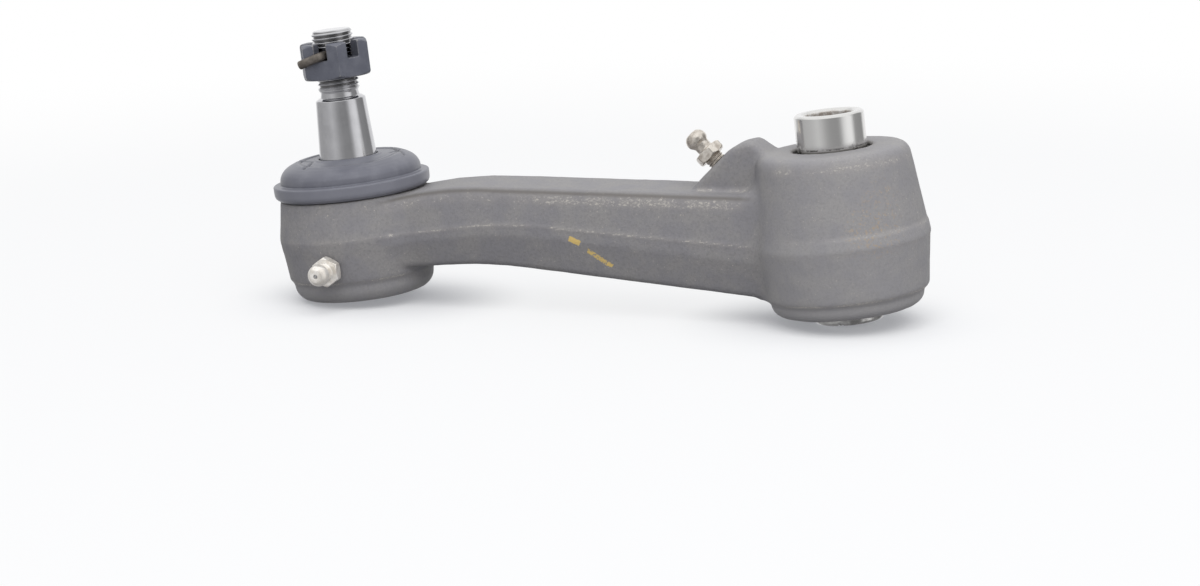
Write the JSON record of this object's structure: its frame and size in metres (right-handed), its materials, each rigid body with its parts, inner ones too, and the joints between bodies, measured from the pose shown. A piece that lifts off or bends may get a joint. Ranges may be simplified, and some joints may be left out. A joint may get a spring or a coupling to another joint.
{
  "type": "idler arm",
  "caption": "Forged steering idler arm with a tapered ball stud in a booted socket at one end and a bushed pivot sleeve at the other, with grease fittings.",
  "frame": {"origin": "on the pivot axis, at the middle of the sleeve's length", "axes": "+Z along the pivot axis, on the side from which the ball stud stands up; +X from the ball joint to the pivot"},
  "size_m": [0.228, 0.0667, 0.1099],
  "materials": {
    "forged_steel": "matte dark grey dip coat over forged steel, fine scuffs on the edges",
    "turned_steel": "turned and ground, bright",
    "ground_steel": "ground tube, grease smears at the ends",
    "black_oxide_steel": "black oxide, satin, edges rubbed bright",
    "pin_steel": "dull brownish steel",
    "boot_rubber": "dark blue grey rubber, soft sheen",
    "seat_plastic": "moulded acetal",
    "spring_steel": "oiled spring steel",
    "cover_steel": "pressed steel, dull",
    "bush_bronze": "sintered bronze, oiled",
    "seal_rubber": "black nitrile",
    "nickel_plate": "bright warm nickel plate",
    "ball_steel": "polished ball"
  },
  "bodies": {
    "arm": {"arm_forging": "forged_steel", "socket_cover": "cover_steel", "upper_ball_seat": "seat_plastic", "preload_spring": "spring_steel", "upper_bushing": "bush_bronze", "lower_bushing": "bush_bronze", "pivot_grease_fitting": "nickel_plate", "socket_grease_fitting": "nickel_plate", "pivot_check_spring": "spring_steel", "socket_check_spring": "spring_steel"},
    "ball_seat": {"lower_ball_seat": "seat_plastic", "dust_boot": "boot_rubber"},
    "stud": {"ball_stud": "turned_steel", "castle_nut": "black_oxide_steel", "cotter_pin": "pin_steel"},
    "pivot_seals": {"upper_pivot_seal": "seal_rubber", "lower_pivot_seal": "seal_rubber"},
    "sleeve": {"pivot_sleeve": "ground_steel"},
    "pivot_check": {"pivot_check_ball": "ball_steel"},
    "socket_check": {"socket_check_ball": "ball_steel"}
  },
  "joints": [
    {"name": "stud_turn", "type": "hinge", "parent": "arm", "child": "ball_seat", "pos_m": [-0.172, 0, 0.0045], "axis": [0, 0, 1], "continuous": true},
    {"name": "stud_swing", "type": "hinge", "parent": "ball_seat", "child": "stud", "pos_m": [-0.172, 0, 0.0045], "axis": [0, 1, 0], "range_deg": [-18, 18], "deforming": ["dust_boot"]},
    {"name": "sleeve_turn", "type": "hinge", "parent": "arm", "child": "pivot_seals", "pos_m": [0, 0, 0], "axis": [0, 0, 1], "continuous": true},
    {"name": "sleeve_slide", "type": "slide", "parent": "pivot_seals", "child": "sleeve", "axis": [0, 0, 1], "range_m": [-0.0115, 0.0038]},
    {"name": "pivot_check_slide", "type": "slide", "parent": "arm", "child": "pivot_check", "axis": [0.6468, 0, -0.7627], "range_m": [0, 0.0008], "stiffness_N_per_m": 200, "springref_m": -0.0015, "deforming": ["pivot_check_spring"]},
    {"name": "socket_check_slide", "type": "slide", "parent": "arm", "child": "socket_check", "axis": [0, 1, 0], "range_m": [0, 0.0008], "stiffness_N_per_m": 200, "springref_m": -0.0015, "deforming": ["socket_check_spring"]}
  ]
}
